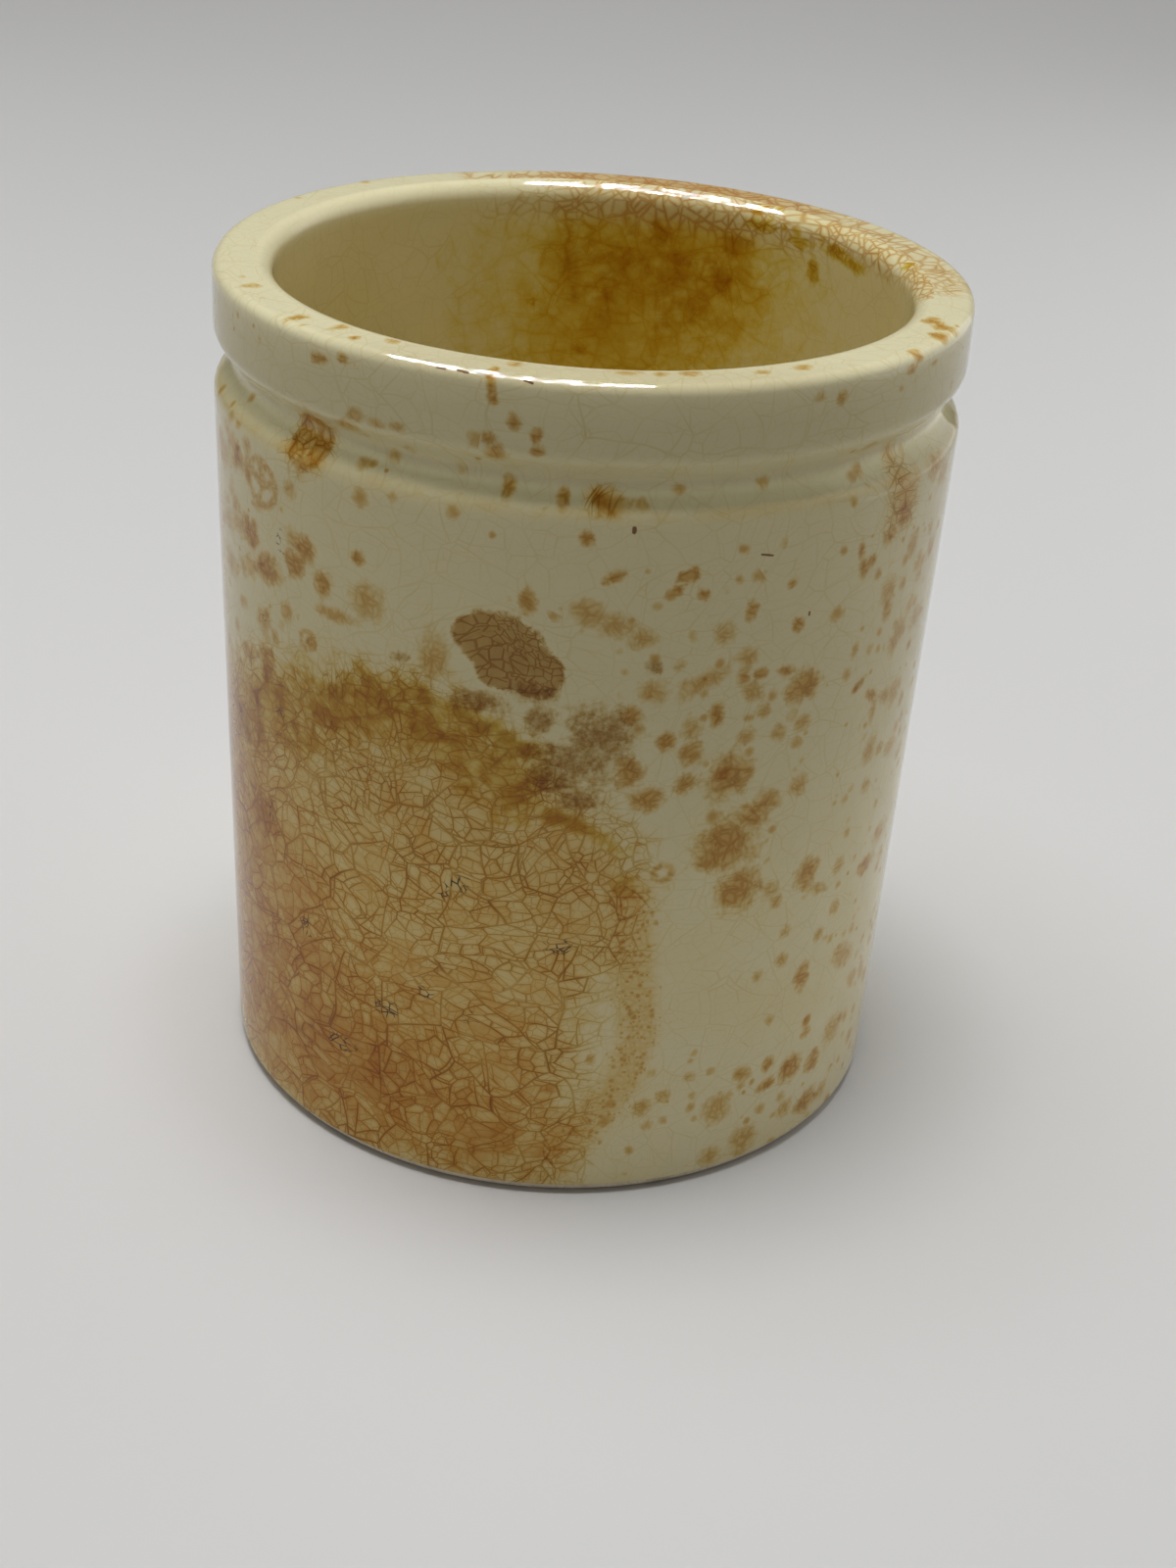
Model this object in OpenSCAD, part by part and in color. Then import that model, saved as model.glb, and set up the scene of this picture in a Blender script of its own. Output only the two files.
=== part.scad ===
// Small straight-sided ceramic pot with a collar rim and a tie groove below it.
// The fired clay body carries three glaze coats, which lie on it face to face and stop short of its bare foot ring.
// Z is the turning axis, and z = 0 is the surface that the foot ring stands on.

/* [Pot] */
// Outside diameter at the collar and at the shoulder
pot_d = 60; // [50:0.5:90]
// Height from the foot ring to the top of the rim
pot_h = 70; // [45:0.5:120]
// How far the wall draws in from the shoulder to the foot, on each side
wall_draw = 1.5; // [0:0.1:2]

/* [Rim and collar] */
// Width of the rim, from the inside wall to the collar's face
rim_w = 4.7; // [4:0.1:8]
// Rounding of the rim's outer edge
rim_round = 0.8; // [0.6:0.1:1.6]
// Rounding of the lip on the inside of the rim
lip_round = 1.4; // [0.8:0.1:2.4]
// Height from the top of the rim down to where the collar rounds into its underside
collar_h = 4.8; // [2.5:0.1:12]
// Rounding between the collar's face and its underside
collar_round = 1.9; // [0.8:0.1:2.6]
// Slope of the collar's underside, from level
underside_slope = 45; // [38:1:60]

/* [Tie groove and shoulder] */
// Depth of the groove below the collar's face
groove_depth = 1.7; // [1.3:0.1:2.2]
// Rounding at the bottom of the groove
groove_round = 1.2; // [0.6:0.1:2]
// Rounding of the shoulder below the groove
shoulder_round = 1.4; // [0.6:0.1:2.2]
// Slope of the shoulder's flank, from level
shoulder_slope = 41; // [34:1:60]

/* [Floor and foot] */
// Thickness of the floor above the foot recess, glaze included
floor_t = 4; // [3:0.1:10]
// Rounding between the inside wall and the floor
floor_round = 4; // [2:0.1:8]
// Rounding of the outer foot edge
foot_round = 0.8; // [0.4:0.1:1.4]
// Width of the foot ring
foot_ring_w = 4; // [2.5:0.1:8]
// Depth of the recess inside the foot ring
recess_depth = 1.2; // [0.6:0.1:2.5]
// How far the side of the recess leans inwards
recess_lean = 0.8; // [0.2:0.1:1.5]

/* [Glaze] */
// Thickness of the glaze coats
glaze_t = 0.3; // [0.2:0.05:0.4]
// Bare band between the rounded foot edge and the outer glaze
bare_band_h = 0.1; // [0.1:0.1:2]
// Wiped margin around the underside glaze
wiped_margin = 0.6; // [0.2:0.1:3]

/* [Smoothness] */
// Steps on each rounded stretch of the outline
arc_steps = 10; // [4:1:24]

/* [Hidden] */
$fn = 128;
clay_colour = [0.80, 0.72, 0.62];
glaze_colour = [0.86, 0.81, 0.66];
liner_colour = [0.87, 0.80, 0.60];

pot_r = pot_d / 2;
inside_r = pot_r - rim_w;
lip_r = inside_r + lip_round;
floor_z = recess_depth + floor_t;

// Height between the centres of an outer rounding and the groove's, joined by a straight flank of slope s
function flank_h(outer, s) =
    (outer + groove_round) * cos(s) + (groove_depth - (outer + groove_round) * (1 - sin(s))) * tan(s);

collar_z = pot_h - collar_h;
groove_z = collar_z - flank_h(collar_round, underside_slope);
shoulder_z = groove_z - flank_h(shoulder_round, shoulder_slope);
collar_c = [pot_r - collar_round, collar_z];
groove_c = [pot_r - groove_depth + groove_round, groove_z];
shoulder_c = [pot_r - shoulder_round, shoulder_z];
rim_c = [pot_r - rim_round, pot_h - rim_round];
lip_c = [lip_r, pot_h - lip_round];
corner_c = [inside_r - floor_round, floor_z + floor_round];

draw_a = atan(wall_draw / shoulder_z);

glaze_edge_z = foot_round + bare_band_h;
foot_c = [wall_r(foot_round, glaze_t + foot_round), foot_round];
ring_in_r = foot_c[0] + foot_round - foot_ring_w;
recess_r = ring_in_r - recess_lean;

// Points along a rounding about c, from angle a0 to angle a1
function rounding(c, r, a0, a1) =
    [for (i = [0:arc_steps]) let (a = a0 + (a1 - a0) * i / arc_steps) c + r * [cos(a), sin(a)]];

// Radius of the drawn-in wall at height z, at depth t below the glaze's face
function wall_r(z, t) =
    shoulder_c[0] + (shoulder_round - t) / cos(draw_a) - (shoulder_z - z) * tan(draw_a);

// Outside outline from the groove's shoulder up to the lip, at depth t below the glaze's face
function shoulder_to_lip(t) = concat(
    rounding(shoulder_c, shoulder_round - t, -draw_a, 90 - shoulder_slope),
    rounding(groove_c, groove_round + t, 270 - shoulder_slope, 90 + underside_slope),
    rounding(collar_c, collar_round - t, underside_slope - 90, 0),
    rounding(rim_c, rim_round - t, 0, 90),
    [[lip_r, pot_h - t]]);

// Inside outline from the lip down to the middle of the floor, at depth t below the glaze's face
function lip_to_floor(t) = concat(
    rounding(lip_c, lip_round - t, 90, 180),
    rounding(corner_c, floor_round + t, 0, -90),
    [[0, floor_z - t]]);

// Underside of the clay, from the middle of the recess out to the foot edge
foot_line = concat(
    [[0, recess_depth], [recess_r, recess_depth], [ring_in_r, 0]],
    rounding(foot_c, foot_round, -90, -draw_a));

function reversed(points) = [for (i = [len(points) - 1:-1:0]) points[i]];

module clay_body() {
    color(clay_colour) rotate_extrude()
        polygon(concat(foot_line, shoulder_to_lip(glaze_t), lip_to_floor(glaze_t)));
}

// Coat on the wall, the groove and the collar, over the rim as far as the lip
module outer_glaze() {
    outer_face = concat([[wall_r(glaze_edge_z, 0), glaze_edge_z]], shoulder_to_lip(0));
    clay_face = concat([[wall_r(glaze_edge_z, glaze_t), glaze_edge_z]], shoulder_to_lip(glaze_t));
    color(glaze_colour) rotate_extrude() polygon(concat(outer_face, reversed(clay_face)));
}

// Poured coat on the lip, the inside wall and the floor
module inner_glaze() {
    color(liner_colour) rotate_extrude()
        polygon(concat(lip_to_floor(0), reversed(lip_to_floor(glaze_t))));
}

// Coat on the recess inside the foot ring
module underside_glaze() {
    color(glaze_colour) translate([0, 0, recess_depth - glaze_t])
        cylinder(h = glaze_t, r = recess_r - wiped_margin);
}

clay_body();
outer_glaze();
inner_glaze();
underside_glaze();
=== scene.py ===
import math
from types import SimpleNamespace

import bpy
import numpy as np
from mathutils import Matrix, Vector


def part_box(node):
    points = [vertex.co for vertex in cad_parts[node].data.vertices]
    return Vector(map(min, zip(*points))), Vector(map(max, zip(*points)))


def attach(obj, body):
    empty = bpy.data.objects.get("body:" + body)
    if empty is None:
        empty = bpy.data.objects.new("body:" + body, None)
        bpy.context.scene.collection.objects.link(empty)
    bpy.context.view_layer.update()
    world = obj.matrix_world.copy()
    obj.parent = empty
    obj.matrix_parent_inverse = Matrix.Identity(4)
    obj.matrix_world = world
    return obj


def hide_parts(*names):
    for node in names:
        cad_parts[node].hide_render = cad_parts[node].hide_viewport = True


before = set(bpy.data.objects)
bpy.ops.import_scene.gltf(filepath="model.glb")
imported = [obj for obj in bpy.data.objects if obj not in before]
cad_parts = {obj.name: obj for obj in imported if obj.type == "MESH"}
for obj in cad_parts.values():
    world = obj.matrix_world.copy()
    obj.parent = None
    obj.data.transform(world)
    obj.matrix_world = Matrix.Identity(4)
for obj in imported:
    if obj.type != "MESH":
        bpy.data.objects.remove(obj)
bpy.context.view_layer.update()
mm = 0.001


# Node wiring

class Wire:  # one socket of a node tree, with arithmetic on values
    def __init__(self, tree, socket=None):
        self.tree = tree
        self.socket = socket

    def add(self, kind, settings=None, inputs=None, out=0):  # any node: type, settings, then its sockets
        node = self.tree.nodes.new(kind)
        for name, value in (settings or {}).items():
            setattr(node, name, value)
        for key, value in (inputs or {}).items():
            if isinstance(value, Wire):
                self.tree.links.new(value.socket, node.inputs[key])
            else:
                node.inputs[key].default_value = value
        return Wire(self.tree, node.outputs[out])

    def maths(self, operation, *terms, clamp=False):
        settings = {"operation": operation, "use_clamp": clamp}
        return self.add("ShaderNodeMath", settings, dict(enumerate(terms)))

    def __add__(self, other):
        return self.maths("ADD", self, other)

    def __radd__(self, other):
        return self.maths("ADD", other, self)

    def __sub__(self, other):
        return self.maths("SUBTRACT", self, other)

    def __rsub__(self, other):
        return self.maths("SUBTRACT", other, self)

    def __mul__(self, other):
        return self.maths("MULTIPLY", self, other)

    def __rmul__(self, other):
        return self.maths("MULTIPLY", other, self)

    def __truediv__(self, other):
        return self.maths("DIVIDE", self, other)

    def __rtruediv__(self, other):
        return self.maths("DIVIDE", other, self)

    def most(self, other):
        return self.maths("MAXIMUM", self, other)

    def sibling(self, out):  # another output of the same node
        return Wire(self.tree, self.socket.node.outputs[out])

    def ramp(self, low, high, start=0.0, end=1.0):  # smooth step from low to high
        inputs = {"Value": self, "From Min": low, "From Max": high, "To Min": start, "To Max": end}
        return self.add("ShaderNodeMapRange", {"interpolation_type": "SMOOTHSTEP"}, inputs)

    def vectors(self, operation, *terms, out=0):
        return self.add("ShaderNodeVectorMath", {"operation": operation}, dict(enumerate(terms)), out)

    def scaled(self, by):  # a vector times a number
        return self.vectors("MULTIPLY", self, (by, by, by))

    def moved(self, other):  # a vector plus another
        return self.vectors("ADD", self, other)

    def axes(self):  # a vector's three parts
        split = self.tree.nodes.new("ShaderNodeSeparateXYZ")
        self.tree.links.new(self.socket, split.inputs[0])
        return [Wire(self.tree, part) for part in split.outputs]

    def noise(self, size, detail=2.0, roughness=0.5, seed=0.0, colour=False):  # cloudy pattern on a vector
        inputs = {"Vector": self, "Scale": 1.0 / size, "Detail": detail, "Roughness": roughness, "W": seed}
        return self.add("ShaderNodeTexNoise", {"noise_dimensions": "4D"}, inputs, out=1 if colour else 0)

    def cells(self, size):  # chance cells on a flat vector: distance to the cell's edge, and a chance colour
        inputs = {"Vector": self, "Scale": 1.0 / size, "Randomness": 0.92}
        kind = {"voronoi_dimensions": "2D"}
        gap = self.add("ShaderNodeTexVoronoi", {**kind, "feature": "DISTANCE_TO_EDGE"}, inputs) * size
        return gap, self.add("ShaderNodeTexVoronoi", {**kind, "feature": "F1"}, inputs, out=1)

    def blend(self, first, last):  # from one colour to another by this share
        return self.add("ShaderNodeMix", {"data_type": "RGBA"}, {0: self, 6: first, 7: last}, out=2)

    def mix(self, share, other):  # a colour mixed towards another by a share
        return share.blend(self, other)

    # A colour seen through dyes, each an amount and how much it takes of red, green and blue
    def dyed(self, *soaks):
        parts = []
        for i in range(3):
            depth = sum(amount * -dye[i] for amount, dye in soaks)
            parts.append(depth.maths("EXPONENT", depth))
        tint = self.add("ShaderNodeCombineColor", None, dict(enumerate(parts)))
        inputs = {0: 1.0, 6: self, 7: tint}
        return self.add("ShaderNodeMix", {"data_type": "RGBA", "blend_type": "MULTIPLY"}, inputs, out=2)


# Outline of the pot

potShape = {  # millimetres and degrees
    "rimRound": 0.8,
    "lipRound": 1.4,
    "collarHeight": 4.8,
    "collarRound": 1.9,
    "undersideSlope": 45.0,
    "grooveDepth": 1.7,
    "grooveRound": 1.2,
    "shoulderRound": 1.4,
    "shoulderSlope": 41.0,
    "wallDraw": 1.5,
    "floorRound": 4.0,
    "footRound": 0.8,
    "footRingWidth": 4.0,
    "recessLean": 0.8,
    "glazeThick": 0.3,
    "shownStep": 0.42,  # ring spacing on faces that show
    "hiddenStep": 4.0,
    "arcStep": 0.25,  # on roundings
    "footArcStep": 0.1,
    "beadArcStep": 0.08,
    "underStep": 0.8,
    "basecoatArcStep": 0.06,
    "basecoatStep": 0.6,
}

glazeLow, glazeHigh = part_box("outer_glaze")
linerLow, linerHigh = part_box("inner_glaze")
_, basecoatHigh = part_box("underside_glaze")
potRadius = glazeHigh.x / mm
potHeight = glazeHigh.z / mm
glazeEdge = glazeLow.z / mm
lipRadius = linerHigh.x / mm
insideRadius = lipRadius - potShape["lipRound"]
floorTop = linerLow.z / mm + potShape["glazeThick"]
recessDepth = basecoatHigh.z / mm
basecoatRadius = basecoatHigh.x / mm


def flankHeight(outer, slope):  # between the centres of two roundings that a straight flank joins
    both = outer + potShape["grooveRound"]
    lean = math.radians(slope)
    return both * math.cos(lean) + (potShape["grooveDepth"] - both * (1 - math.sin(lean))) * math.tan(lean)


collarZ = potHeight - potShape["collarHeight"]
grooveZ = collarZ - flankHeight(potShape["collarRound"], potShape["undersideSlope"])
shoulderZ = grooveZ - flankHeight(potShape["shoulderRound"], potShape["shoulderSlope"])
collarCentre = (potRadius - potShape["collarRound"], collarZ)
grooveCentre = (potRadius - potShape["grooveDepth"] + potShape["grooveRound"], grooveZ)
shoulderCentre = (potRadius - potShape["shoulderRound"], shoulderZ)
rimCentre = (potRadius - potShape["rimRound"], potHeight - potShape["rimRound"])
lipCentre = (lipRadius, potHeight - potShape["lipRound"])
cornerCentre = (insideRadius - potShape["floorRound"], floorTop + potShape["floorRound"])
drawSlope = potShape["wallDraw"] / shoulderZ
drawAngle = math.degrees(math.atan(drawSlope))


def arc(centre, radius, start, end, step):
    count = max(3, round(abs(math.radians(end - start)) * radius / step))
    turns = [math.radians(start + (end - start) * i / count) for i in range(count + 1)]
    return [(centre[0] + radius * math.cos(a), centre[1] + radius * math.sin(a)) for a in turns]


def joined(*stretches, step):  # stretches in order, with points every step along the straight gaps
    points = []
    for stretch in stretches:
        for point in stretch:
            if points:
                gap = math.dist(points[-1], point)
                if gap < 1e-4:
                    continue
                steps = max(1, math.ceil(gap / step))
                last = points[-1]
                for i in range(1, steps):
                    share = i / steps
                    points.append(tuple(a + (b - a) * share for a, b in zip(last, point)))
            points.append(point)
    return points


def wallRadius(z, depth):
    lean = math.cos(math.radians(drawAngle))
    return shoulderCentre[0] + (potShape["shoulderRound"] - depth) / lean - (shoulderZ - z) * drawSlope


def faceRadius(z):  # of the outer coat's face on the wall or on the rim's rounded edge
    if z < shoulderZ:
        return wallRadius(z, 0.0)
    return rimCentre[0] + math.sqrt(potShape["rimRound"] ** 2 - max(0.0, z - rimCentre[1]) ** 2)


# From the wall's foot up over the collar to the lip, at a depth below the face
def outerLine(depth, step, start):
    fine = potShape["arcStep"]
    return joined(
        start,
        arc(shoulderCentre, potShape["shoulderRound"] - depth, -drawAngle,
            90 - potShape["shoulderSlope"], fine),
        arc(grooveCentre, potShape["grooveRound"] + depth, 270 - potShape["shoulderSlope"],
            90 + potShape["undersideSlope"], fine),
        arc(collarCentre, potShape["collarRound"] - depth, potShape["undersideSlope"] - 90, 0, fine),
        arc(rimCentre, potShape["rimRound"] - depth, 0, 90, fine / 1.5),
        [(lipRadius, potHeight - depth)],
        step=step)


def innerLine(depth, step):  # from the lip down to the middle of the floor, at a depth below the face
    return joined(
        arc(lipCentre, potShape["lipRound"] - depth, 90, 180, potShape["arcStep"]),
        arc(cornerCentre, potShape["floorRound"] + depth, 0, -90, step),
        [(0.0, floorTop - depth)],
        step=step)


thick = potShape["glazeThick"]
shown = potShape["shownStep"]
hidden = potShape["hiddenStep"]
footCentre = (wallRadius(potShape["footRound"], thick + potShape["footRound"]), potShape["footRound"])
ringInside = footCentre[0] + potShape["footRound"] - potShape["footRingWidth"]
recessRadius = ringInside - potShape["recessLean"]


def outerCoatLine():
    bead = thick / 2  # the coat ends in a rounded bead above the bare foot
    middle = ((wallRadius(glazeEdge, 0) + wallRadius(glazeEdge, thick)) / 2, glazeEdge + bead)
    edge = arc(middle, bead, -90, -drawAngle, potShape["beadArcStep"])
    face = outerLine(0.0, shown, edge)
    back = outerLine(thick, hidden, [(wallRadius(glazeEdge, thick), glazeEdge)])
    return face + back[::-1] + [face[0]]


def linerLine():
    face = innerLine(0.0, shown)
    back = innerLine(thick, hidden)
    return face[::-1] + back


def clayLine():
    under = joined(
        [(0.0, recessDepth), (recessRadius, recessDepth), (ringInside, 0.0)],
        arc(footCentre, potShape["footRound"], -90, -drawAngle, potShape["footArcStep"]),
        step=potShape["underStep"])
    outside = outerLine(thick, hidden, under)
    return joined(outside, innerLine(thick, hidden), step=hidden)


def basecoatLine():
    top = recessDepth
    low = recessDepth - thick
    edge = arc((basecoatRadius - thick / 2, low + thick / 2), thick / 2, -90, 90,
               potShape["basecoatArcStep"])
    return joined([(0.0, low)], edge, [(0.0, top)], step=potShape["basecoatStep"])


# Turning tree

def turningSockets(face):
    face.new_socket("Geometry", in_out="OUTPUT", socket_type="NodeSocketGeometry")
    kinds = {"Outline": "Geometry", "Segments": "Int", "Material": "Material"}
    names = ("Outline", "Segments", "Front Crowding", "Pot Radius", "Pot Height", "Out Of Round", "Rim Wave",
             "Ripple", "Ripple Size", "Seed", "Material")
    sockets = {}
    for name in names:
        kind = "NodeSocket" + kinds.get(name, "Float")
        sockets[name] = face.new_socket(name, in_out="INPUT", socket_type=kind).identifier
    return sockets


def turningTree():  # Geometry Nodes: turns an outline about Z, with the small errors of a hand-finished pot
    tree = bpy.data.node_groups.new("turnedPot", "GeometryNodeTree")
    sockets = turningSockets(tree.interface)
    given = tree.nodes.new("NodeGroupInput")
    start = Wire(tree)
    value = {name: Wire(tree, given.outputs[name]) for name in sockets}

    rings = start.add("GeometryNodeAttributeDomainSize", {"component": "MESH"}, {0: value["Outline"]})
    sheetInputs = {"Size X": 1.0, "Size Y": 1.0, "Vertices X": value["Segments"] + 1, "Vertices Y": rings}
    sheet = start.add("GeometryNodeMeshGrid", None, sheetInputs)
    mapInputs = {"Geometry": sheet, "Name": "OFBake", "Value": sheet.sibling(1)}
    perCorner = {"data_type": "FLOAT2", "domain": "CORNER"}
    mapped = start.add("GeometryNodeStoreNamedAttribute", perCorner, mapInputs)

    place = start.add("GeometryNodeInputPosition")
    across, along, _ = place.axes()
    ring = (along + 0.5) * (rings - 1)
    ring = ring.maths("ROUND", ring)
    pick = {"Geometry": value["Outline"], "Value": place, "Index": ring}
    radius, _, height = start.add("GeometryNodeSampleIndex", {"data_type": "FLOAT_VECTOR"}, pick).axes()

    turn = (across + 0.5) * math.tau
    turn = turn - value["Front Crowding"] * turn.maths("SINE", turn)
    side = turn.maths("SINE", turn)
    ahead = turn.maths("COSINE", turn) * -1.0
    way = start.add("ShaderNodeCombineXYZ", None, {0: side, 1: ahead})
    share = radius / value["Pot Radius"]
    spot = start.add("ShaderNodeCombineXYZ", None, {0: side * radius, 1: ahead * radius, 2: height})

    def swing(vector, size, seed):  # noise from -1 to 1
        pattern = {"Vector": vector, "W": value["Seed"] + seed, "Scale": size, "Detail": 1.0}
        return start.add("ShaderNodeTexNoise", {"noise_dimensions": "4D"}, pattern) * 2.0 - 1.0

    bulge = swing(way, 0.8, 0.0) * value["Out Of Round"]
    ripple = swing(spot, 1.0 / value["Ripple Size"], 3.0) * value["Ripple"]
    lift = swing(way, 0.9, 7.0) * value["Rim Wave"] * (height / value["Pot Height"])
    grown = radius + (bulge + ripple) * share
    target = start.add("ShaderNodeCombineXYZ", None, {0: side * grown, 1: ahead * grown, 2: height + lift})
    shaped = start.add("GeometryNodeSetPosition", None, {"Geometry": mapped, "Position": target})
    closed = start.add("GeometryNodeMergeByDistance", None, {"Geometry": shaped, "Distance": 1e-6})
    smooth = start.add("GeometryNodeSetShadeSmooth", None, {"Geometry": closed, "Shade Smooth": True})
    real = start.add("GeometryNodeRealizeInstances", None, {"Geometry": smooth})
    coated = start.add("GeometryNodeSetMaterial", None, {"Geometry": real, "Material": value["Material"]})
    done = tree.nodes.new("NodeGroupOutput")
    tree.links.new(coated.socket, done.inputs[0])
    return tree, sockets


turnedPot, turnedSockets = turningTree()

handError = {  # how far the pot is from a true turned form, in millimetres
    "Out Of Round": 0.12,
    "Rim Wave": 0.15,
    "Ripple": 0.06,
    "Ripple Size": 11.0,
    "Seed": 4.0,
}

sharpAngle = 38.0  # edges sharper than this stay crisp


def placed(name, data):  # a new object in the scene
    holder = bpy.data.objects.new(name, data)
    bpy.context.scene.collection.objects.link(holder)
    return holder


def turned(name, line, segments, crowding, material, **changes):
    mesh = bpy.data.meshes.new(name + "Outline")
    mesh.from_pydata([(r * mm, 0.0, z * mm) for r, z in line], [], [])
    piece = placed(name, mesh)
    errors = {**handError, **changes}
    lengths = {key: amount * (1.0 if key == "Seed" else mm) for key, amount in errors.items()}
    inputs = {"Segments": segments, "Front Crowding": crowding, "Material": material,
              "Pot Radius": potRadius * mm, "Pot Height": potHeight * mm, **lengths}
    turning = piece.modifiers.new("turning", "NODES")
    turning.node_group = turnedPot
    for key, amount in inputs.items():
        turning[turnedSockets[key]] = amount
    graph = bpy.context.evaluated_depsgraph_get()
    made = bpy.data.meshes.new_from_object(piece.evaluated_get(graph))
    piece.modifiers.remove(turning)
    piece.data = made
    made.name = name
    bpy.data.meshes.remove(mesh)
    made.set_sharp_from_angle(angle=math.radians(sharpAngle))
    print(name, len(made.vertices), "points", len(made.polygons), "faces")
    return piece


# Stain fields, 1 in the middle of a stain, 0 at its edge and -1 well outside it

landEdge = potRadius - potShape["rimRound"]


def outerRun(height, radius):  # height on the outside, and further on across the rim's land
    onLand = height > potHeight - potShape["rimRound"] - 0.02
    return height + np.where(onLand, np.clip(landEdge - radius, 0.0, None), 0.0)


def innerRun(height, radius):  # height on the inside wall, more on the lip and less across the floor
    return height + radius - insideRadius


def flatRun(height, radius):
    return radius


def unrolled(mesh, run):  # angle from the front in degrees, run and radius of every point in millimetres
    places = np.empty(len(mesh.vertices) * 3)
    mesh.vertices.foreach_get("co", places)
    x, y, z = places.reshape(-1, 3).T / mm
    radius = np.hypot(x, y)
    return np.degrees(np.arctan2(x, -y)), run(z, radius), radius


def turnBetween(angles, centre):
    return (angles - centre + 180.0) % 360.0 - 180.0


def spotField(where, spots):  # spots are angle, height, half width and, if not round, half height and lean
    angles, heights, radii = where
    field = np.full(len(angles), -1.0)
    for angle, height, halfWidth, *more in spots:
        halfHeight = more[0] if more else halfWidth
        lean = math.radians(more[1] if len(more) > 1 else 0.0)
        across = np.radians(turnBetween(angles, angle)) * radii
        up = heights - height
        along = across * math.cos(lean) + up * math.sin(lean)
        over = up * math.cos(lean) - across * math.sin(lean)
        field = np.maximum(field, 1.0 - np.hypot(along / halfWidth, over / halfHeight))
    return field


def streakField(where, streaks):  # streaks are a half width and the points that the streak runs through
    angles, heights, radii = where
    field = np.full(len(angles), -1.0)
    for halfWidth, points in streaks:
        for (angleA, heightA), (angleB, heightB) in zip(points, points[1:]):
            perDegree = math.radians(1.0) * radii
            across = turnBetween(angles, angleA) * perDegree
            up = heights - heightA
            runAcross = (angleB - angleA) * perDegree
            runUp = heightB - heightA
            share = (across * runAcross + up * runUp) / (runAcross ** 2 + runUp ** 2 + 1e-9)
            share = np.clip(share, 0.0, 1.0)
            gap = np.hypot(across - share * runAcross, up - share * runUp)
            field = np.maximum(field, 1.0 - gap / halfWidth)
    return field


def ringStreak(halfWidth, angle, height, across, up, steps=14):  # a closed streak around a spot
    halfTurn = math.degrees(across / potRadius)
    turns = [math.tau * i / steps for i in range(steps + 1)]
    return halfWidth, [(angle + halfTurn * math.cos(t), height + up * math.sin(t)) for t in turns]


def areaField(where, areas):  # areas are an edge softness and the corners of their outline
    angles, heights, radii = where
    field = np.full(len(angles), -1.0)
    for softness, corners in areas:
        middle = sum(angle for angle, _ in corners) / len(corners)
        turns = turnBetween(angles, middle) + middle
        inside = np.zeros(len(angles), bool)
        for (angleA, heightA), (angleB, heightB) in zip(corners, corners[1:] + corners[:1]):
            crosses = (heightA > heights) != (heightB > heights)
            rise = (heightB - heightA) or 1e-9
            inside ^= crosses & (turns < angleA + (heights - heightA) * (angleB - angleA) / rise)
        edge = streakField(where, [(softness, corners + corners[:1])])
        gap = np.clip(1.0 - edge, 0.0, 1.0)  # distance to the outline, in softnesses
        field = np.maximum(field, np.where(inside, gap, -gap))
    return field


# Every kind of stain is a field on the mesh, which the glaze turns into colour
stainKinds = ("amber", "deep", "ochre", "blotch", "brown", "tan", "mauve", "ink", "freckle", "dust")


def stainMesh(piece, stains, run):
    where = unrolled(piece.data, run)
    layer = piece.data.attributes.new("run", "FLOAT", "POINT")
    layer.data.foreach_set("value", where[1].astype(np.float32))
    for kind in stainKinds:
        marks = stains.get(kind, {})
        field = areaField(where, marks.get("areas", []))
        field = np.maximum(field, spotField(where, marks.get("spots", [])))
        field = np.maximum(field, streakField(where, marks.get("streaks", [])))
        layer = piece.data.attributes.new(kind, "FLOAT", "POINT")
        layer.data.foreach_set("value", np.clip(field, -1.0, 1.0).astype(np.float32))


def scattered(seed, count, angleSpan, heightSpan, sizeSpan):  # chance spots, many small and few large
    chance = np.random.default_rng(seed)
    low, high = sizeSpan
    spots = []
    for _ in range(count):
        angle = chance.uniform(*angleSpan)
        height = chance.uniform(*heightSpan)
        size = low * (high / low) ** (chance.random() ** 1.6)
        spots.append((angle, height, size, size * chance.uniform(0.7, 1.4), chance.uniform(-60, 60)))
    return spots


# Glaze

creamLook = {  # colours are linear
    "cream": (0.69, 0.60, 0.335, 1.0),
    "paleCream": (0.71, 0.635, 0.395, 1.0),
    # painted shade: a darker cream for the upper part of the outer wall
    "shadedUpperCream": (0.598, 0.527, 0.310, 1.0),
    # painted light: a paler cream on the rim's top land and the lip's top
    "litLandCream": (0.83, 0.78, 0.52, 1.0),
    # painted light: a much paler cream for the lower side of the groove, under the collar's shade
    "grooveLitCream": (0.95, 0.89, 0.57, 1.0),
    # painted shade: a darker cream for the collar's face and underside
    "collarShadeCream": (0.545, 0.484, 0.282, 1.0),
    "amberDye": (0.10, 0.48, 1.36),  # how much of red, green and blue a stain takes
    "brownDye": (0.56, 0.91, 1.68),
    "ochreDye": (0.44, 0.82, 3.00),
    "crackDye": (0.58, 0.86, 1.75),
    "rimDye": (0.46, 1.02, 1.70),
    "ink": (0.03, 0.022, 0.012, 1.0),
    "roughness": 0.02,
    "gloss": 1.33,  # index of refraction
    "mosaic": 0.26,  # how far the stain differs from cell to cell
    "seed": 0.0,
    "seam": -140.0,  # where the cracks round the pot meet, in degrees from the front
    "scratchColour": (0.14, 0.055, 0.012, 1.0),
    "scratches": [  # degrees and height of both ends, and half width
        (7.4, 59.65, 7.4, 59.35, 0.20),
        (35.6, 51.7, 35.6, 51.5, 0.12),
        (26.2, 57.1, 28.0, 56.9, 0.12),
        (-17.6, 69.86, -16.1, 69.82, 0.14),
        (-20.6, 69.82, -19.4, 69.82, 0.11),
        (-8.4, 69.80, -7.3, 69.70, 0.11),
    ],
    "rimWash": 0.50,  # how far the stain soaks the rim between the cracks
    "outside": True,
}

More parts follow.
